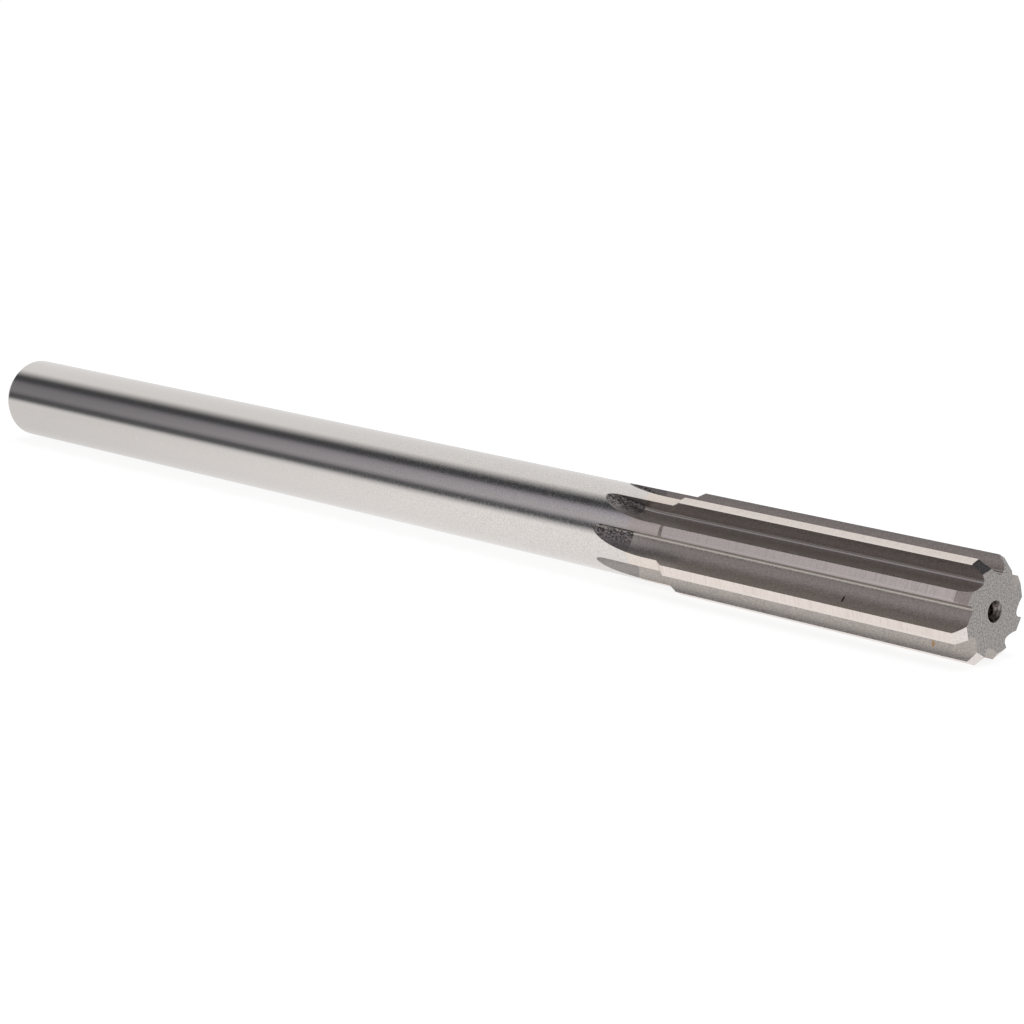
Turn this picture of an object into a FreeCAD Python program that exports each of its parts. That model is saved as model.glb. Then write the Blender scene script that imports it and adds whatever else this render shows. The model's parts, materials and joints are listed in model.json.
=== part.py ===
import FreeCAD, Part
import math
import os

# Straight-shank machine reamer, 5/8 in, right-hand cut, with straight flutes.
#
# The tool is one piece of steel: a bar turned between centres, fluted with a form cutter,
# hardened, and ground. Its axis lies along X. The origin is the centre of the cutting end
# face, the shank runs towards -X, and +Z is up for the tool lying on two of its teeth.

# Driving dimensions, in millimetres and degrees.
cutting_diameter = 15.875
overall_length = 228.6
flute_length = 57.15            # cutting end to the middle of the slope behind the lands
flute_count = 8
end_chamfer_length = 1.4        # 45 degree lead that does the cutting
end_chamfer_angle = 45.0
end_chamfer_relief = 10.0       # clearance behind the cutting edge of the lead
land_width = 1.77               # cutting edge to heel
margin_width = 0.4              # round strip that guides the tool in its hole
land_relief = 9.0               # clearance behind the margin
land_height = 0.8               # the lands stand this far above the shank
back_slope_angle = 29.0         # slope from the lands down to the shank, from the axis
flute_depth = 2.82              # below the cutting diameter
flute_root_radius = 0.7
flute_back_radius = 5.45
flute_back_overrun = 15.0       # the cutter's round back carries on this far past the heel
full_depth_length = 60.2        # the flutes keep their depth this far from the cutting end
flute_cutter_radius = 32.5      # the disc cutter that leaves the run-outs
shank_chamfer_length = 1.3
shank_chamfer_angle = 30.0
centre_mouth_diameter = 3.175
centre_pilot_diameter = 1.98
centre_pilot_length = 2.4
centre_angle = 60.0
drill_point_angle = 118.0
clearance = 1.0                 # how far the cutting tools reach past the steel

cutting_radius = cutting_diameter / 2
shank_radius = cutting_radius - land_height
core_radius = cutting_radius - flute_depth
tooth_pitch = 360.0 / flute_count
back_slope_length = land_height / math.tan(math.radians(back_slope_angle))
lands_end = flute_length - back_slope_length / 2
slope_end = flute_length + back_slope_length / 2

axis_start = FreeCAD.Vector(0, 0, 0)
along_axis = FreeCAD.Vector(1, 0, 0)
sideways = FreeCAD.Vector(0, 1, 0)

# Every tooth is worked out in one place, with its cutting edge straight above the axis, its
# land on the +Y side and its flute on the -Y side. The tooth is then repeated round the axis.


def section_point(x, y, z):
    return FreeCAD.Vector(x, y, z)


def face_of(points):
    return Part.Face(Part.makePolygon(points + points[:1]))


def turned(outline):
    """Revolve a half section, given as (x, radius) pairs, about the tool's axis."""
    points = [section_point(x, 0, radius) for x, radius in outline]
    return face_of(points).revolve(axis_start, along_axis, 360)


def round_the_axis(shape, turn):
    """Copy a shape made for one tooth to every tooth."""
    copies = []
    for tooth in range(flute_count):
        copy = shape.copy()
        copy.rotate(axis_start, along_axis, turn + tooth * tooth_pitch)
        copies.append(copy)
    return copies


def margin_end():
    """The line on the land where the round margin stops, as y and z."""
    angle = margin_width / cutting_radius
    return cutting_radius * math.sin(angle), cutting_radius * math.cos(angle)


def land_fall():
    """How steeply the relieved land falls away from the margin, in radians."""
    return margin_width / cutting_radius + math.radians(land_relief)


def heel():
    """The back edge of the land, as y and z."""
    y, z = margin_end()
    width = land_width - margin_width
    return y + width * math.cos(land_fall()), z - width * math.sin(land_fall())


def gap_angle():
    """From the heel of one tooth to the cutting edge of the next, in radians."""
    y, z = heel()
    return math.radians(tooth_pitch) - math.atan2(y, z)


def resting_turn():
    """Turn that lays one heel and the next cutting edge level on the ground."""
    heel_radius = math.hypot(*heel())
    gap = gap_angle()
    over = cutting_radius - heel_radius * math.cos(gap)
    lean = math.atan2(over, heel_radius * math.sin(gap))
    return 180 - math.degrees(lean)


def blank():
    """The turned bar: lead chamfer, lands, back slope, shank and shank chamfer."""
    lead_height = end_chamfer_length * math.tan(math.radians(end_chamfer_angle))
    shank_chamfer_height = shank_chamfer_length * math.tan(math.radians(shank_chamfer_angle))
    return turned([
        (0, 0),
        (0, cutting_radius - lead_height),
        (-end_chamfer_length, cutting_radius),
        (-lands_end, cutting_radius),
        (-slope_end, shank_radius),
        (shank_chamfer_length - overall_length, shank_radius),
        (-overall_length, shank_radius - shank_chamfer_height),
        (-overall_length, 0),
    ])


def centre_hole():
    """A centre drill's cut in the cutting end: a cone for the lathe centre, then a pilot."""
    slope = math.tan(math.radians(centre_angle / 2))
    mouth = centre_mouth_diameter / 2
    pilot = centre_pilot_diameter / 2
    cone_depth = (mouth - pilot) / slope
    pilot_end = cone_depth + centre_pilot_length
    point_length = pilot / math.tan(math.radians(drill_point_angle / 2))
    return turned([
        (clearance, 0),
        (clearance, mouth + clearance * slope),
        (-cone_depth, pilot),
        (-pilot_end, pilot),
        (-pilot_end - point_length, 0),
    ])


def both_centre_holes():
    cutting_end = centre_hole()
    shank_end = centre_hole()
    shank_end.rotate(axis_start, sideways, 180)
    shank_end.translate(-along_axis * overall_length)
    return [cutting_end, shank_end]


def flute_section(x):
    """The form cutter's profile, ahead of the cutting face, as a face across the axis.

    The cutting face is straight and radial. A small root radius joins it to the long round
    back, which touches the core and leaves through the heel of the tooth in front.
    """
    gap = gap_angle()
    heel_radius = math.hypot(*heel())
    heel_y = -heel_radius * math.sin(gap)
    heel_z = heel_radius * math.cos(gap)

    back_z = core_radius + flute_back_radius
    back_y = heel_y + math.sqrt(flute_back_radius ** 2 - (back_z - heel_z) ** 2)

    root_y = -flute_root_radius
    between = flute_back_radius - flute_root_radius
    root_z = back_z - math.sqrt(between ** 2 - (root_y - back_y) ** 2)

    join = math.atan2(root_y - back_y, back_z - root_z)
    leave = math.atan2(heel_y - back_y, back_z - heel_z) - math.radians(flute_back_overrun)

    def on_back(angle):
        y = back_y + flute_back_radius * math.sin(angle)
        z = back_z - flute_back_radius * math.cos(angle)
        return section_point(x, y, z)

    def on_root(angle):
        y = root_y + flute_root_radius * math.sin(angle)
        z = root_z - flute_root_radius * math.cos(angle)
        return section_point(x, y, z)

    quarter_turn = math.pi / 2
    face_foot = on_root(quarter_turn)
    root_foot = on_root(join)
    out = on_back(leave)
    top = cutting_radius + clearance
    face_top = section_point(x, 0, top)
    back_top = section_point(x, out.y, top)
    edges = [
        Part.LineSegment(face_foot, face_top).toShape(),
        Part.LineSegment(face_top, back_top).toShape(),
        Part.LineSegment(back_top, out).toShape(),
        Part.Arc(out, on_back((leave + join) / 2), root_foot).toShape(),
        Part.Arc(root_foot, on_root((join + quarter_turn) / 2), face_foot).toShape(),
    ]
    return Part.Face(Part.Wire(edges))


def flute():
    """One pass of the disc cutter: a level cut from the end, then its own arc as it lifts."""
    level = flute_section(clearance).extrude(-along_axis * (full_depth_length + clearance))
    lift = cutting_radius + clearance - core_radius
    sweep = math.degrees(math.acos(1 - lift / flute_cutter_radius))
    spindle = section_point(-full_depth_length, 0, core_radius + flute_cutter_radius)
    run_out = flute_section(-full_depth_length).revolve(spindle, sideways, sweep)
    return level.fuse(run_out).removeSplitter()


def land_relief_cut():
    """The clearance ground behind the margin, along the whole land."""
    y, z = margin_end()
    across = section_point(0, math.cos(land_fall()), -math.sin(land_fall()))
    outward = section_point(0, math.sin(land_fall()), math.cos(land_fall()))
    start = section_point(clearance, y, z)
    reach = across * (land_width - margin_width + clearance)
    lift = outward * clearance
    section = face_of([start, start + reach, start + reach + lift, start + lift])
    return section.extrude(-along_axis * (slope_end + clearance))


def lead_relief_cut():
    """The clearance ground behind the cutting edge of the lead chamfer."""
    lead = math.radians(end_chamfer_angle)
    relief = math.radians(end_chamfer_relief)
    along_lead = section_point(math.cos(lead), 0, -math.sin(lead))
    off_lead = section_point(math.sin(lead), 0, math.cos(lead))
    across = sideways * math.cos(relief) - off_lead * math.sin(relief)
    outward = off_lead * math.cos(relief) + sideways * math.sin(relief)
    lead_start = section_point(-end_chamfer_length, 0, cutting_radius)
    lead_span = end_chamfer_length / math.cos(lead)
    before = lead_start - along_lead * clearance
    after = lead_start + along_lead * (lead_span + clearance)
    reach = across * (land_width + clearance)
    return face_of([before, after, after + reach, before + reach]).extrude(outward * clearance)


def machine_reamer():
    turn = resting_turn()
    cuts = both_centre_holes()
    for cut in (flute(), land_relief_cut(), lead_relief_cut()):
        cuts += round_the_axis(cut, turn)
    return blank().cut(cuts).removeSplitter()


os.makedirs("parts", exist_ok=True)
reamer = machine_reamer()
reamer.exportStep("parts/machine_reamer.step")
print("machine_reamer", reamer.isValid(), len(reamer.Solids), "solid", round(reamer.Volume), "mm3")
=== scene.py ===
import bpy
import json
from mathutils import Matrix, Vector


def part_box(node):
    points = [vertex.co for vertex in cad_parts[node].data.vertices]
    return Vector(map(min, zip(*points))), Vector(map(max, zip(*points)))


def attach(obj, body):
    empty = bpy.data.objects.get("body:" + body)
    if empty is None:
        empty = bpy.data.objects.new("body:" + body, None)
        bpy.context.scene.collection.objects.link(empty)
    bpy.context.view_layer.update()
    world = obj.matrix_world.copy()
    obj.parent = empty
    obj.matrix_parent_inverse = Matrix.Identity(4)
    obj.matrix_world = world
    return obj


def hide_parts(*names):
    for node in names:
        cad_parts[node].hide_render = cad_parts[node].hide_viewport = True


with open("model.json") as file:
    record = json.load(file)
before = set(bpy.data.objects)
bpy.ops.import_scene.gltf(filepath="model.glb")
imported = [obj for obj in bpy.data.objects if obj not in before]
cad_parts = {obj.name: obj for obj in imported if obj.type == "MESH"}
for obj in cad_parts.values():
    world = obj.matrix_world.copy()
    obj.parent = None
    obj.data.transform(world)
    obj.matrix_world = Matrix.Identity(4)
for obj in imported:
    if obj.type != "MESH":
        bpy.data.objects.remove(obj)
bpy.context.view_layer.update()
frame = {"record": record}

import json
import math

import bmesh
import bpy
from mathutils import Matrix, Vector

# A straight-shank machine reamer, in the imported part's own frame: its axis is X, the centre of
# the cutting end face is the origin, and the shank runs towards -X. Sizes are millimetres, as
# on a tool drawing, and the finished tool is scaled to metres once.

# ----------------------------------------------------------------------------------------------
# The bar: shank, back slope, lands and lead in one profile, turned and then ground between
# centres, with a 60 degree centre hole in each end. One bar of hardened tool steel.
# ----------------------------------------------------------------------------------------------
MM = 0.001
lowest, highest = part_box("machine_reamer")
shank_mount = next(m for m in frame["record"]["mounts"] if m["name"] == "shank")
overall_length = (highest.x - lowest.x) / MM
shank_radius = shank_mount["dims"]["r_mm"]
cutting_radius = 15.875 / 2
flute_length = 57.15
back_slope_angle = math.radians(29)
lead_length = 1.4
lead_angle = math.radians(45)
shank_chamfer_length = 1.3
shank_chamfer_angle = math.radians(30)
centre_mouth_radius = 3.175 / 2
centre_pilot_radius = 1.98 / 2
centre_pilot_length = 2.4
centre_angle = math.radians(60)
drill_point_angle = math.radians(118)
lathe_steps = 256
weld_size = 0.001

TOOL_AXIS = Vector((1, 0, 0))
ORIGIN = Vector((0, 0, 0))
slope_length = (cutting_radius - shank_radius) / math.tan(back_slope_angle)
lands_end = flute_length - slope_length / 2
slope_end = flute_length + slope_length / 2
cone_depth = (centre_mouth_radius - centre_pilot_radius) / math.tan(centre_angle / 2)
pilot_end = cone_depth + centre_pilot_length
point_end = pilot_end + centre_pilot_radius / math.tan(drill_point_angle / 2)
lead_height = lead_length * math.tan(lead_angle)
shank_chamfer_height = shank_chamfer_length * math.tan(shank_chamfer_angle)


def linear(sheet_colour):
    """A colour written as sRGB hex, as the linear RGBA that a shader takes."""
    channels = [int(sheet_colour[i:i + 2], 16) / 255 for i in (1, 3, 5)]
    return [c / 12.92 if c <= 0.04045 else ((c + 0.055) / 1.055) ** 2.4 for c in channels] + [1]


def add(tree, kind, inputs=(), stops=(), **settings):
    """Add a node and give its outputs.

    Inputs are {socket: plain value, or output to link}, and stops are a ramp's (share, hex).
    """
    new = tree.nodes.new(kind)
    for name, value in settings.items():
        setattr(new, name, value)
    for socket, value in dict(inputs).items():
        if isinstance(value, bpy.types.NodeSocket):
            tree.links.new(value, new.inputs[socket])
        else:
            new.inputs[socket].default_value = value
    if stops:
        ramp = new.color_ramp.elements
        for _ in stops[2:]:
            ramp.new(1.0)
        for stop, (share, colour) in zip(ramp, stops):
            stop.position = share
            stop.color = linear(colour)
    return new.outputs


def pattern(tree, sizes, detail):
    """An uneven pattern whose features are this many millimetres long in X, Y and Z."""
    spot = add(tree, "ShaderNodeTexCoord")["Object"]
    scaled = add(tree, "ShaderNodeMapping", {"Vector": spot, "Scale": Vector(sizes) * MM},
                 vector_type="TEXTURE")["Vector"]
    return add(tree, "ShaderNodeTexNoise", {"Vector": scaled, "Scale": 1.0, "Detail": detail})["Fac"]


def place(tree, axis):
    """How far along one axis a point is, in metres."""
    spot = add(tree, "ShaderNodeTexCoord")["Object"]
    return add(tree, "ShaderNodeSeparateXYZ", {"Vector": spot})[axis]


def grained(tree, grain, dark, pale, smooth, rough, tint_reach=(0.35, 0.65), shine_reach=(0.3, 0.7)):
    """A colour and a roughness that both follow a grain, across its middle range."""
    colour = add(tree, "ShaderNodeValToRGB", {"Fac": grain},
                 stops=[(tint_reach[0], dark), (tint_reach[1], pale)])["Color"]
    roughness = add(tree, "ShaderNodeMapRange",
                    {"Value": grain, "From Min": shine_reach[0], "From Max": shine_reach[1],
                     "To Min": smooth, "To Max": rough})["Result"]
    return colour, roughness


def finish(name, dress):
    """A bare steel finish: dress(tree) gives its colour, roughness, relief and relief depth."""
    made = bpy.data.materials.new(name)
    made.use_nodes = True
    tree = made.node_tree
    shader = tree.nodes["Principled BSDF"]
    shader.inputs["Metallic"].default_value = 1.0
    colour, roughness, relief, depth = dress(tree)
    tree.links.new(colour, shader.inputs["Base Color"])
    tree.links.new(roughness, shader.inputs["Roughness"])
    normal = add(tree, "ShaderNodeBump", {"Height": relief, "Strength": 1.0, "Distance": depth * MM})["Normal"]
    tree.links.new(normal, shader.inputs["Normal"])
    return made


# Grinding leaves marks a few hundredths of a millimetre apart. They are drawn 0.2 mm or more
# apart on every finish, so that they show.

# Centreless-ground steel: nearly a mirror, a little warm, with a grain that shows near the head.
def shank_look(tree):
    grain = pattern(tree, (0.22, 0.3, 0.3), 1)
    near_head = add(tree, "ShaderNodeMapRange",
                    {"Value": place(tree, "X"), "From Min": -0.15, "From Max": -0.08,
                     "To Min": 0.25, "To Max": 1.0})["Result"]
    uneven = add(tree, "ShaderNodeMath", {0: grain, 1: 0.5}, operation="SUBTRACT")["Value"]
    shown = add(tree, "ShaderNodeMath", {0: uneven, 1: near_head, 2: 0.5}, operation="MULTIPLY_ADD")["Value"]
    colour, roughness = grained(tree, shown, "#d3ceca", "#e5e0dc", 0.06, 0.2, shine_reach=(0.35, 0.65))
    return colour, roughness, shown, 0.0008


# Surface-ground lands: warmer, with fine marks across them from the wheel, in groups that differ
# in their shine, so they catch the light as short stripes.
def land_look(tree):
    marks = pattern(tree, (0.2, 4, 4), 1)
    groups = pattern(tree, (1.4, 9, 9), 1)
    most = add(tree, "ShaderNodeMath", {0: marks, 1: 0.75}, operation="MULTIPLY")["Value"]
    both = add(tree, "ShaderNodeMath", {0: groups, 1: 0.25, 2: most}, operation="MULTIPLY_ADD")["Value"]
    colour, roughness = grained(tree, both, "#dfd3cc", "#f5ebe4", 0.1, 0.5, (0.4, 0.6), (0.42, 0.6))
    return colour, roughness, marks, 0.001


# Round-ground neck and back slope: as warm as the lands, and duller than the shank.
def neck_look(tree):
    grain = pattern(tree, (0.25, 0.3, 0.3), 1)
    colour, roughness = grained(tree, grain, "#e3d7ce", "#f1e6dd", 0.26, 0.4)
    return colour, roughness, grain, 0.001


# Round-ground margins: narrow, bright and even, almost without marks.
def margin_look(tree):
    marks = pattern(tree, (0.3, 9, 9), 2)
    colour, roughness = grained(tree, marks, "#e6ddd6", "#ebe2db", 0.14, 0.2)
    return colour, roughness, marks, 0.0004


# Ground lead chamfers: bright facets, white or black as they face the light or turn from it.
def lead_look(tree):
    grain = pattern(tree, (0.25, 0.25, 0.25), 1)
    colour, roughness = grained(tree, grain, "#ddd5d0", "#ebe4e0", 0.16, 0.24)
    return colour, roughness, grain, 0.001


# Ground end faces: an even middle grey with a fine sparkle.
def end_look(tree):
    grain = pattern(tree, (0.28, 0.28, 0.28), 1)
    colour, roughness = grained(tree, grain, "#8b8784", "#bbb7b4", 0.4, 0.5)
    return colour, roughness, grain, 0.01


# Centre-drilled holes: painted shade, a dark steel colour that stands in for the shade inside the hole, mottled
# with paler patches.
def shaded_hole_look(tree):
    marks = pattern(tree, (0.3, 0.6, 0.6), 3)
    colour, roughness = grained(tree, marks, "#4d4441", "#b0a8a3", 0.25, 0.45)
    return colour, roughness, marks, 0.03


def turned(outline):
    """Spin a half profile of (x, radius) pairs once round the tool's axis."""
    made = bmesh.new()
    corners = [made.verts.new((x, 0, radius)) for x, radius in outline]
    edges = [made.edges.new(pair) for pair in zip(corners, corners[1:])]
    bmesh.ops.spin(made, geom=corners + edges, cent=ORIGIN, axis=TOOL_AXIS,
                   angle=math.tau, steps=lathe_steps, use_merge=True)
    bmesh.ops.remove_doubles(made, verts=made.verts, dist=weld_size)
    bmesh.ops.recalc_face_normals(made, faces=made.faces)
    return made


def piece(name, shape, finishes):
    """Make an object of a finished bmesh, with its materials in slot order."""
    mesh = bpy.data.meshes.new(name)
    shape.to_mesh(mesh)
    shape.free()
    for one in finishes:
        mesh.materials.append(one)
    made = bpy.data.objects.new(name, mesh)
    bpy.context.scene.collection.objects.link(made)
    return made


shank_steel = finish("centreless_ground_shank", shank_look)
land_steel = finish("surface_ground_land", land_look)
neck_steel = finish("round_ground_neck", neck_look)
margin_steel = finish("circular_ground_margin", margin_look)
lead_steel = finish("ground_lead", lead_look)
end_steel = finish("ground_end_face", end_look)
# The centre holes' finish is painted shade: a dark colour for the shade inside the holes.
shaded_hole_steel = finish("centre_hole_painted_shade", shaded_hole_look)

bar = turned([
    (-point_end, 0),
    (-pilot_end, centre_pilot_radius),
    (-cone_depth, centre_pilot_radius),
    (0, centre_mouth_radius),
    (0, cutting_radius - lead_height),
    (-lead_length, cutting_radius),
    (-lands_end, cutting_radius),
    (-slope_end, shank_radius),
    (shank_chamfer_length - overall_length, shank_radius),
    (-overall_length, shank_radius - shank_chamfer_height),
    (-overall_length, centre_mouth_radius),
    (cone_depth - overall_length, centre_pilot_radius),
    (pilot_end - overall_length, centre_pilot_radius),
    (point_end - overall_length, 0),
])
bar_finishes = [shank_steel, neck_steel, margin_steel, lead_steel, end_steel, shaded_hole_steel]
for face in bar.faces:
    middle = face.calc_center_median()
    if math.hypot(middle.y, middle.z) < centre_mouth_radius:
        chosen = shaded_hole_steel
    elif abs(face.normal.x) > math.cos(lead_angle / 2):
        chosen = end_steel
    elif middle.x > -lead_length:
        chosen = lead_steel
    elif middle.x > -lands_end:
        chosen = margin_steel
    elif middle.x > -slope_end:
        chosen = neck_steel
    else:
        chosen = shank_steel
    face.material_index = bar_finishes.index(chosen)
reamer = piece("reamer", bar, bar_finishes)

# ----------------------------------------------------------------------------------------------
# The eight flutes, each cut with one pass of a form cutter: a radial cutting face, a small root
# radius and a long round back. The disc cutter lifts out behind the head and leaves a run-out.
# ----------------------------------------------------------------------------------------------
flute_count = 8
flute_depth = 2.82
flute_root_radius = 0.7
flute_back_radius = 5.45
flute_back_overrun = math.radians(15)
full_depth_length = 60.2
flute_cutter_radius = 32.5
land_width = 1.77
margin_width = 0.4
land_relief = math.radians(9)
clearance = 1.0
root_steps = 12
back_steps = 28
lift_steps = 32

# The tooth is worked out with its cutting edge straight above the axis, its land on the +Y side
# and its flute on the -Y side.
margin_angle = margin_width / cutting_radius
land_fall = margin_angle + land_relief
margin_end = Vector((0, math.sin(margin_angle), math.cos(margin_angle))) * cutting_radius
across_land = Vector((0, math.cos(land_fall), -math.sin(land_fall)))
off_land = Vector((0, math.sin(land_fall), math.cos(land_fall)))
heel = margin_end + across_land * (land_width - margin_width)
gap_angle = math.tau / flute_count - math.atan2(heel.y, heel.z)
heel_before = Vector((0, -math.sin(gap_angle), math.cos(gap_angle))) * heel.length
resting_turn = math.pi - math.atan2(cutting_radius - heel_before.z, -heel_before.y)


def round_share(tree):
    """How far round a point is from one cutting edge, at 0, over land and flute to the next, at 1."""
    pitch = math.tau / flute_count
    first_edge = flute_count + (resting_turn - math.pi / 2) / pitch
    toward = add(tree, "ShaderNodeMath", {0: place(tree, "Y"), 1: -1.0}, operation="MULTIPLY")["Value"]
    around = add(tree, "ShaderNodeMath", {0: place(tree, "Z"), 1: toward}, operation="ARCTAN2")["Value"]
    pitches = add(tree, "ShaderNodeMath", {0: around, 1: 1 / pitch, 2: first_edge},
                  operation="MULTIPLY_ADD")["Value"]
    return add(tree, "ShaderNodeMath", {0: pitches}, operation="FRACT")["Value"]


def blemished(tree, ground, grain, centre, sizes, tint):
    """Steel with one small ragged spot of another tint, by its place and half size in mm."""
    spot = add(tree, "ShaderNodeTexCoord")["Object"]
    moved = add(tree, "ShaderNodeMapping",
                {"Vector": spot, "Location": Vector(centre) * MM, "Scale": Vector(sizes) * MM},
                vector_type="TEXTURE")["Vector"]
    off = add(tree, "ShaderNodeVectorMath", {0: moved}, operation="LENGTH")["Value"]
    ragged = add(tree, "ShaderNodeMath", {0: grain, 1: -0.8, 2: off}, operation="MULTIPLY_ADD")["Value"]
    inside = add(tree, "ShaderNodeMapRange",
                 {"Value": ragged, "From Min": 0.3, "From Max": 0.7, "To Min": 1.0, "To Max": 0.0})["Result"]
    mixed = add(tree, "ShaderNodeMix", {0: inside, 6: ground, 7: linear(tint)}, data_type="RGBA")
    return mixed[2]


# Milled and ground flutes: a dull warm grey with a fine grain, and a smooth line along the root
# that catches the light. One flute has a brown fleck, and another a dark nick.
def ground_flute_look(tree):
    root = add(tree, "ShaderNodeMapRange",
               {"Value": round_share(tree), "From Min": 0.88, "From Max": 0.9,
                "To Min": 0.0, "To Max": 1.0})["Result"]
    beside_root = add(tree, "ShaderNodeMath", {0: 1.0, 1: root}, operation="SUBTRACT")["Value"]
    uneven = add(tree, "ShaderNodeMath", {0: pattern(tree, (0.28, 0.2, 0.2), 1), 1: 0.5},
                 operation="SUBTRACT")["Value"]
    grain = add(tree, "ShaderNodeMath", {0: uneven, 1: beside_root, 2: 0.5}, operation="MULTIPLY_ADD")["Value"]
    colour, dull = grained(tree, grain, "#a8a09b", "#c2bbb5", 0.32, 0.42)
    roughness = add(tree, "ShaderNodeMath", {0: root, 1: -0.12, 2: dull}, operation="MULTIPLY_ADD")["Value"]
    stained = blemished(tree, colour, grain, (-7.6, -3.7, -5.35), (0.3, 0.6, 0.5), "#b08c68")
    nicked = blemished(tree, stained, grain, (-21.9, -6.4, -1.1), (0.18, 0.6, 0.6), "#3b3432")
    return nicked, roughness, grain, 0.003


flute_steel = finish("ground_flute", ground_flute_look)


def round_the_axis(shape):
    """Repeat a cutter, made for the tooth that points straight up, at every tooth."""
    first = shape.verts[:] + shape.edges[:] + shape.faces[:]
    turn = Matrix.Rotation(resting_turn, 3, TOOL_AXIS)
    bmesh.ops.rotate(shape, verts=shape.verts, cent=ORIGIN, matrix=turn)
    bmesh.ops.spin(shape, geom=first, cent=ORIGIN, axis=TOOL_AXIS, steps=flute_count - 1,
                   angle=math.tau * (flute_count - 1) / flute_count, use_duplicate=True)
    return shape


def flute_cutter():
    """The form cutter's profile run level along the flute, then lifted out on the disc's own arc."""
    made = bmesh.new()
    core_radius = cutting_radius - flute_depth
    back_z = core_radius + flute_back_radius
    back_y = heel_before.y + math.sqrt(flute_back_radius ** 2 - (back_z - heel_before.z) ** 2)
    root_y = -flute_root_radius
    root_z = back_z - math.sqrt((flute_back_radius - flute_root_radius) ** 2 - (root_y - back_y) ** 2)
    join = math.atan2(root_y - back_y, back_z - root_z)
    leave = math.atan2(heel_before.y - back_y, back_z - heel_before.z) - flute_back_overrun
    top = cutting_radius + clearance

    face_top = made.verts.new((clearance, 0, top))
    face_foot = made.verts.new((clearance, 0, root_z))
    made.edges.new((face_top, face_foot))
    root = bmesh.ops.spin(made, geom=[face_foot], cent=(0, root_y, root_z), axis=TOOL_AXIS,
                          angle=join - math.pi / 2, steps=root_steps)
    back = bmesh.ops.spin(made, geom=root["geom_last"], cent=(0, back_y, back_z), axis=TOOL_AXIS,
                          angle=leave - join, steps=back_steps)
    out = back["geom_last"][0]
    back_top = made.verts.new((clearance, out.co.y, top))
    made.edges.new((out, back_top))
    made.edges.new((back_top, face_top))
    bmesh.ops.contextual_create(made, geom=made.edges[:])

    level = bmesh.ops.extrude_face_region(made, geom=made.faces[:])["geom"]
    level_corners = [part for part in level if isinstance(part, bmesh.types.BMVert)]
    bmesh.ops.translate(made, verts=level_corners, vec=(-full_depth_length - clearance, 0, 0))
    lift = math.acos(1 - (top - core_radius) / flute_cutter_radius)
    spindle = (-full_depth_length, 0, core_radius + flute_cutter_radius)
    bmesh.ops.spin(made, geom=level, cent=spindle, axis=(0, 1, 0), angle=lift, steps=lift_steps)
    bmesh.ops.remove_doubles(made, verts=made.verts, dist=weld_size)
    bmesh.ops.recalc_face_normals(made, faces=made.faces)
    return made


def cut_away(body, cutters):
    """Subtract the cutters from the body for good. The cut faces keep the cutters' finish."""
    cut = body.modifiers.new("cut", "BOOLEAN")
    cut.object = cutters
    cut.solver = "MANIFOLD"
    cut.material_mode = "TRANSFER"
    graph = bpy.context.evaluated_depsgraph_get()
    uncut = body.data
    shaped = bpy.data.meshes.new_from_object(body.evaluated_get(graph), depsgraph=graph)
    body.modifiers.clear()
    body.data = shaped
    bpy.data.meshes.remove(uncut)
    bpy.data.objects.remove(cutters)


cut_away(reamer, piece("flute_cutters", round_the_axis(flute_cutter()), [flute_steel]))

# ----------------------------------------------------------------------------------------------
# The reliefs: each land is ground down behind its narrow round margin, and each lead behind its
# cutting edge, so that only the edges touch the hole. Flat wheel cuts, one for each tooth.
# ----------------------------------------------------------------------------------------------
lead_relief = math.radians(10)


def slab(corner, first_side, second_side, depth):
    """A block from the three edges that leave one corner."""
    made = bmesh.new()
    made.verts.new(corner)
    for side in (first_side, second_side, depth):
        grown = bmesh.ops.extrude_face_region(made, geom=made.verts[:] + made.edges[:] + made.faces[:],
                                              use_keep_orig=True)["geom"]
        ends = [part for part in grown if isinstance(part, bmesh.types.BMVert)]
        bmesh.ops.translate(made, verts=ends, vec=side)
    bmesh.ops.recalc_face_normals(made, faces=made.faces)
    return made


land_slab = slab(margin_end + TOOL_AXIS * clearance,
                 across_land * (land_width - margin_width + clearance),
                 off_land * clearance,
                 TOOL_AXIS * -(slope_end + 2 * clearance))
cut_away(reamer, piece("land_grinding", round_the_axis(land_slab), [land_steel]))

down_lead = Vector((math.cos(lead_angle), 0, -math.sin(lead_angle)))
off_lead = Vector((math.sin(lead_angle), 0, math.cos(lead_angle)))
across_tooth = Vector((0, 1, 0))
across_relief = across_tooth * math.cos(lead_relief) - off_lead * math.sin(lead_relief)
off_relief = off_lead * math.cos(lead_relief) + across_tooth * math.sin(lead_relief)
lead_corner = Vector((-lead_length, 0, cutting_radius))
lead_slab = slab(lead_corner - down_lead * clearance,
                 down_lead * (lead_length / math.cos(lead_angle) + 2 * clearance),
                 across_relief * (land_width + clearance),
                 off_relief * clearance)
cut_away(reamer, piece("lead_grinding", round_the_axis(lead_slab), [lead_steel]))

# ----------------------------------------------------------------------------------------------
# The head ends in a ring where the finish changes: in front of it the steel is warmer and its
# flutes are ground smooth, and behind it the shank is greyer and the run-outs are left rough.
# ----------------------------------------------------------------------------------------------
head_length = 64.2
sharp_angle = math.radians(22)
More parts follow.
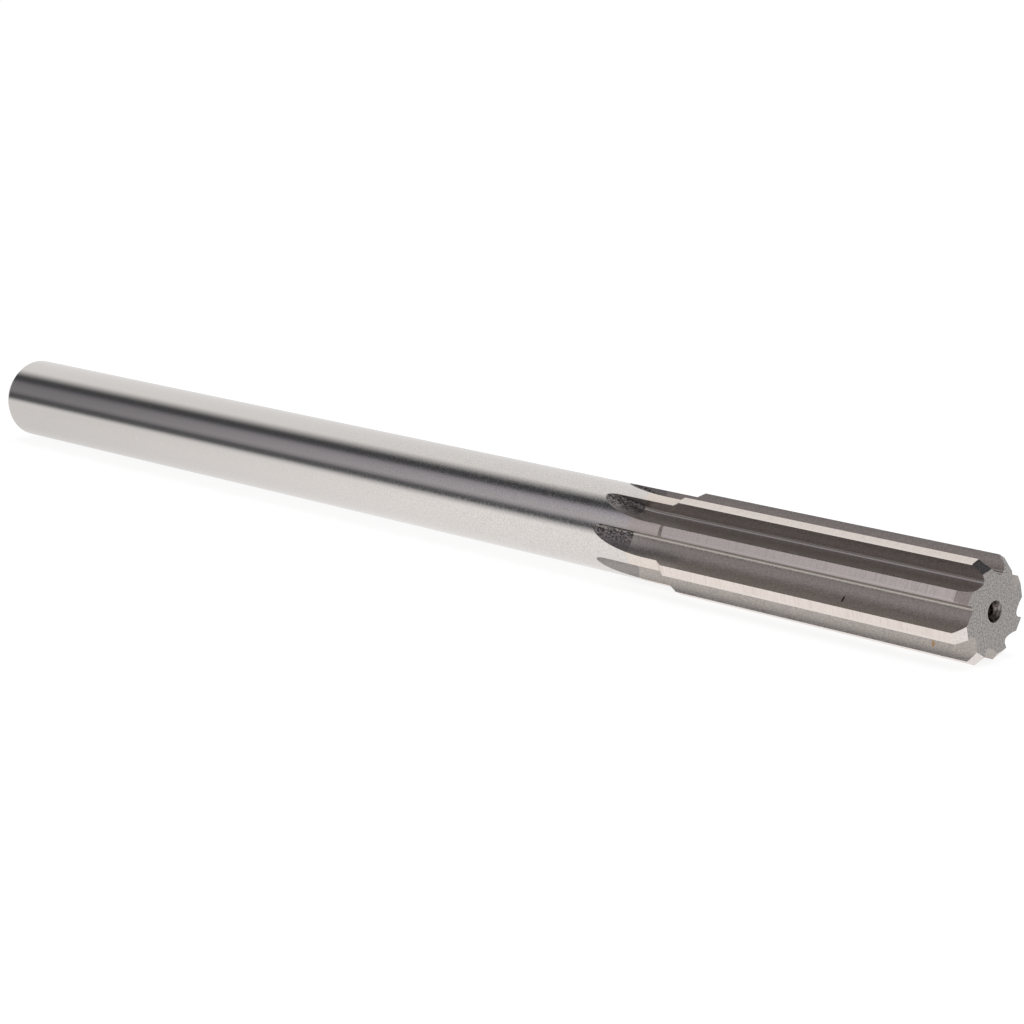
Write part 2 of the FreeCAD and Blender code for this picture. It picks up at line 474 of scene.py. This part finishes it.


# Rough run-outs, where the cutter lifted out: dull grey, with mottled dark patches in an uneven tone. Keeping
# the patches towards the root of the flute and on the run-outs that face up is painted shade.
def rough_look(tree):
    scale = pattern(tree, (0.45, 0.24, 0.24), 3)
    grain = pattern(tree, (0.25, 0.2, 0.2), 2)
    patches = add(tree, "ShaderNodeMapRange",
                  {"Value": scale, "From Min": 0.4, "From Max": 0.58, "To Min": 1.0, "To Max": 0.0})["Result"]
    # Painted shade: the dark patches are kept towards the flute's root and on the run-outs that face up.
    root_shade = add(tree, "ShaderNodeMapRange",
                    {"Value": round_share(tree), "From Min": 0.42, "From Max": 0.7,
                     "To Min": 0.0, "To Max": 1.0})["Result"]
    upper = add(tree, "ShaderNodeMapRange",
                {"Value": place(tree, "Z"), "From Min": -0.0045, "From Max": -0.002,
                 "To Min": 0.0, "To Max": 1.0})["Result"]
    painted_shade_place = add(tree, "ShaderNodeMath", {0: root_shade, 1: upper}, operation="MULTIPLY")["Value"]
    scaled = add(tree, "ShaderNodeMath", {0: patches, 1: painted_shade_place}, operation="MULTIPLY")["Value"]
    faint = add(tree, "ShaderNodeMath", {0: grain, 1: 0.3}, operation="MULTIPLY")["Value"]
    marked = add(tree, "ShaderNodeMath", {0: scaled, 1: 0.75, 2: faint}, operation="MULTIPLY_ADD")["Value"]
    colour = add(tree, "ShaderNodeValToRGB", {"Fac": marked},
                 stops=[(0.08, "#aca6a3"), (0.22, "#989290"), (0.9, "#4f4a47")])["Color"]
    roughness = add(tree, "ShaderNodeMapRange",
                    {"Value": grain, "From Min": 0.3, "From Max": 0.7, "To Min": 0.35, "To Max": 0.5})["Result"]
    return colour, roughness, grain, 0.004


rough_steel = finish("rough_run_out", rough_look)
reamer.data.materials.append(rough_steel)
slots = list(reamer.data.materials)
tool = bmesh.new()
tool.from_mesh(reamer.data)
bmesh.ops.bisect_plane(tool, geom=tool.verts[:] + tool.edges[:] + tool.faces[:],
                       plane_co=(-head_length, 0, 0), plane_no=TOOL_AXIS, dist=weld_size)
for face in tool.faces:
    face.smooth = True
    in_head = face.calc_center_median().x > -head_length
    if slots[face.material_index] == shank_steel and in_head:
        face.material_index = slots.index(neck_steel)
    if slots[face.material_index] == flute_steel and not in_head:
        face.material_index = slots.index(rough_steel)
for edge in tool.edges:
    grounds = {slots[side.material_index] for side in edge.link_faces}
    edge.smooth = edge.calc_face_angle(0) < sharp_angle and len(grounds) == 1
bmesh.ops.scale(tool, verts=tool.verts, vec=(MM, MM, MM))
tool.to_mesh(reamer.data)
tool.free()
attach(reamer, "root")
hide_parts("machine_reamer")

# ----------------------------------------------------------------------------------------------
# The table and the room: a white table under a white sky, with a soft lamp overhead. What the camera sees of
# them is white, and the table keeps a light shadow. What the steel sees of the table is a glow that fades
# towards the shank end, painted light that stands in for the lamp's falloff.
# ----------------------------------------------------------------------------------------------
table_size = 6.0
table_albedo = 0.8
table_to_camera = 1.15
# How the table's glow seen by the steel fades towards the shank end: painted light for the lamp's falloff.
table_glow_falloff = {"From Min": -0.23, "From Max": -0.12, "To Min": 0.8, "To Max": 0.98}
glow_to_camera = 0.75
glow_to_steel = 0.9
room_level = 0.7
room_to_steel = 0.84

white_table = bpy.data.materials.new("white_table")
white_table.use_nodes = True
tree = white_table.node_tree
tree.nodes.clear()
ray = add(tree, "ShaderNodeLightPath")
matt = add(tree, "ShaderNodeBsdfDiffuse", {"Color": [table_albedo] * 3 + [1]})["BSDF"]
# Painted light: the glow the steel sees fades along X towards the shank end, standing in for the lamp's
# falloff.
to_steel = add(tree, "ShaderNodeMapRange", {"Value": place(tree, "X"), **table_glow_falloff})["Result"]
to_camera = add(tree, "ShaderNodeMath", {0: ray["Is Camera Ray"], 1: table_to_camera},
                operation="MULTIPLY")["Value"]
level = add(tree, "ShaderNodeMath", {0: to_camera, 1: to_steel}, operation="MAXIMUM")["Value"]
glow = add(tree, "ShaderNodeEmission", {"Strength": level})["Emission"]
steel_share = add(tree, "ShaderNodeMath", {0: ray["Is Glossy Ray"], 1: glow_to_steel},
                  operation="MULTIPLY")["Value"]
share = add(tree, "ShaderNodeMath", {0: ray["Is Camera Ray"], 1: glow_to_camera, 2: steel_share},
            operation="MULTIPLY_ADD")["Value"]
mixed = add(tree, "ShaderNodeMixShader", {0: share, 1: matt, 2: glow})["Shader"]
add(tree, "ShaderNodeOutputMaterial", {"Surface": mixed})
table_top = bmesh.new()
bmesh.ops.create_grid(table_top, x_segments=1, y_segments=1, size=table_size)
bmesh.ops.translate(table_top, verts=table_top.verts, vec=(0, 0, lowest.z))
piece("table", table_top, [white_table])

room = bpy.data.worlds.new("white_room")
bpy.context.scene.world = room
room.use_nodes = True
tree = room.node_tree
sky = tree.nodes["Background"]
sky.inputs["Color"].default_value = (1, 1, 1, 1)
ray = add(tree, "ShaderNodeLightPath")
sky_to_steel = add(tree, "ShaderNodeMath", {0: ray["Is Glossy Ray"], 1: room_to_steel},
                   operation="MULTIPLY")["Value"]
seen = add(tree, "ShaderNodeMath", {0: ray["Is Camera Ray"], 1: sky_to_steel}, operation="MAXIMUM")["Value"]
level = add(tree, "ShaderNodeMath", {0: seen, 1: room_level}, operation="MAXIMUM")["Value"]
tree.links.new(level, sky.inputs["Strength"])

# ----------------------------------------------------------------------------------------------
# The cards: grey boards that only the shiny steel sees. One lies on the table in front of the
# tool and curves up over it, with a paler middle, and flat ones stand or hang behind it, above
# its head and beyond its shank. Their sizes and places are metres.
# ----------------------------------------------------------------------------------------------
card_distance = 0.6
card_near = 0.035
card_foot = math.radians(-14)
card_top = math.radians(98)
card_steps = 48
card_ends = (-1.6, 1.2)
board_thickness = 0.01


def card(name, shape, greys):
    """A board that only shiny surfaces see, in greys given by greys(tree)."""
    board = bpy.data.materials.new(name)
    board.use_nodes = True
    tree = board.node_tree
    tree.nodes.clear()
    glow = add(tree, "ShaderNodeEmission", {"Color": greys(tree), "Strength": 1.0})["Emission"]
    add(tree, "ShaderNodeOutputMaterial", {"Surface": glow})
    made = piece(name, shape, [board])
    made.visible_camera = False
    made.visible_diffuse = False
    made.visible_shadow = False


def front_greys(tree):
    """Its greys, from its near edge on the table to its top edge overhead."""
    toward = add(tree, "ShaderNodeMath", {0: place(tree, "Y"), 1: -1.0}, operation="MULTIPLY")["Value"]
    angle = add(tree, "ShaderNodeMath", {0: place(tree, "Z"), 1: toward}, operation="ARCTAN2")["Value"]
    share = add(tree, "ShaderNodeMapRange",
                {"Value": angle, "From Min": card_foot, "From Max": card_top,
                 "To Min": 0.0, "To Max": 1.0})["Result"]
    edges = add(tree, "ShaderNodeValToRGB", {"Fac": share},
                stops=[(0.0, "#f9f9f9"), (0.06, "#d8d8d9"), (0.13, "#5c5d60"), (0.19, "#505154"),
                       (0.63, "#48494c"), (0.75, "#48494c"), (0.80, "#727375"), (0.87, "#b1b1b2"),
                       (0.94, "#dbdbdb"), (1.0, "#efefef")])["Color"]
    middle = add(tree, "ShaderNodeValToRGB", {"Fac": share},
                 stops=[(0.17, "#4c4c4e"), (0.22, "#5c5c5e"), (0.28, "#d8d5de"), (0.34, "#fffbff"),
                        (0.5, "#efecf5"), (0.57, "#d2cfd8"), (0.64, "#5b5a5f"), (0.68, "#000000")])["Color"]
    along = add(tree, "ShaderNodeMapRange",
                {"Value": place(tree, "X"), "From Min": -1.0, "From Max": 0.6,
                 "To Min": 0.0, "To Max": 1.0})["Result"]
    paler = add(tree, "ShaderNodeValToRGB", {"Fac": along},
                stops=[(0.0, "#737373"), (0.37, "#cacaca"), (0.6, "#cacaca"), (0.8, "#a8a29c")])["Color"]
    return add(tree, "ShaderNodeVectorMath", {0: middle, 1: paler, 2: edges},
               operation="MULTIPLY_ADD")["Vector"]


front_card = bmesh.new()
corners = [front_card.verts.new((x, -card_distance, lowest.z + MM)) for x in card_ends]
front_edge = front_card.edges.new(corners)
flat = bmesh.ops.extrude_edge_only(front_card, edges=[front_edge])["geom"]
flat_corners = [part for part in flat if isinstance(part, bmesh.types.BMVert)]
bmesh.ops.translate(front_card, verts=flat_corners, vec=(0, card_distance - card_near, 0))
bmesh.ops.spin(front_card, geom=corners + [front_edge], cent=ORIGIN, axis=TOOL_AXIS,
               angle=-card_top, steps=card_steps)
card("front_card", front_card, front_greys)


def head_greys(tree):
    """A dark grey for the flutes to show, a little paler away from the tool."""
    return add(tree, "ShaderNodeValToRGB", {"Fac": place(tree, "X")},
               stops=[(0.0, "#3c3d40"), (1.0, "#45464a")])["Color"]


head_card = slab(Vector((0.06, -0.3, 0.5)), Vector((0.8, 0, 0)), Vector((0, 1.2, 0)),
                 Vector((0, 0, board_thickness)))
card("head_card", head_card, head_greys)


def shank_greys(tree):
    """One middle grey for the back slope to show."""
    return linear("#5a5b5e")


shank_card = slab(Vector((-1.2, -0.4, lowest.z + MM)), Vector((0, 0.7, 0)), Vector((0, 0, 0.35)),
                  Vector((-board_thickness, 0, 0)))
card("shank_card", shank_card, shank_greys)


def back_greys(tree):
    """Middle greys, from its lower edge to its upper edge."""
    share = add(tree, "ShaderNodeMapRange",
                {"Value": place(tree, "Z"), "From Min": 0.04, "From Max": 0.9,
                 "To Min": 0.0, "To Max": 1.0})["Result"]
    return add(tree, "ShaderNodeValToRGB", {"Fac": share},
               stops=[(0.0, "#66676a"), (0.1, "#9a9a9c"), (0.6, "#a6a6a8"), (0.8, "#66676a"),
                      (1.0, "#c0c0c0")])["Color"]


back_card = slab(Vector((-0.3, 0.6, 0.04)), Vector((1.5, 0, 0)), Vector((0, 0, 0.86)),
                 Vector((0, board_thickness, 0)))
card("back_card", back_card, back_greys)

# ----------------------------------------------------------------------------------------------
# The lamp, a soft disc overhead, and the camera, which looks along the head from the cutting end.
# ----------------------------------------------------------------------------------------------
lamp = bpy.data.lights.new("overhead_lamp", "AREA")
lamp.shape = "DISK"
lamp.size = 0.6
lamp.energy = 2.4
lamp_object = bpy.data.objects.new("overhead_lamp", lamp)
lamp_object.location = (-0.05, 0.05, 0.8)
lamp_object.visible_glossy = False
bpy.context.scene.collection.objects.link(lamp_object)

view_azimuth = math.radians(45.92)
view_elevation = math.radians(12.70)
view_distance = 410.75
beside_tip = 67.05
above_tip = 13.835
forward = Vector((-math.sin(view_azimuth) * math.cos(view_elevation),
                  math.cos(view_azimuth) * math.cos(view_elevation), -math.sin(view_elevation)))
right = Vector((math.cos(view_azimuth), math.sin(view_azimuth), 0))
up = right.cross(forward)
lens = bpy.data.cameras.new("camera")
lens.sensor_width = 36
lens.lens = 103.96
lens.clip_start = 0.01
lens.clip_end = 100
camera = bpy.data.objects.new("camera", lens)
camera.location = (up * above_tip - right * beside_tip - forward * view_distance) * MM
camera.rotation_euler = (math.pi / 2 - view_elevation, 0, view_azimuth)
bpy.context.scene.collection.objects.link(camera)
bpy.context.scene.camera = camera
bpy.context.scene.view_settings.view_transform = "Standard"
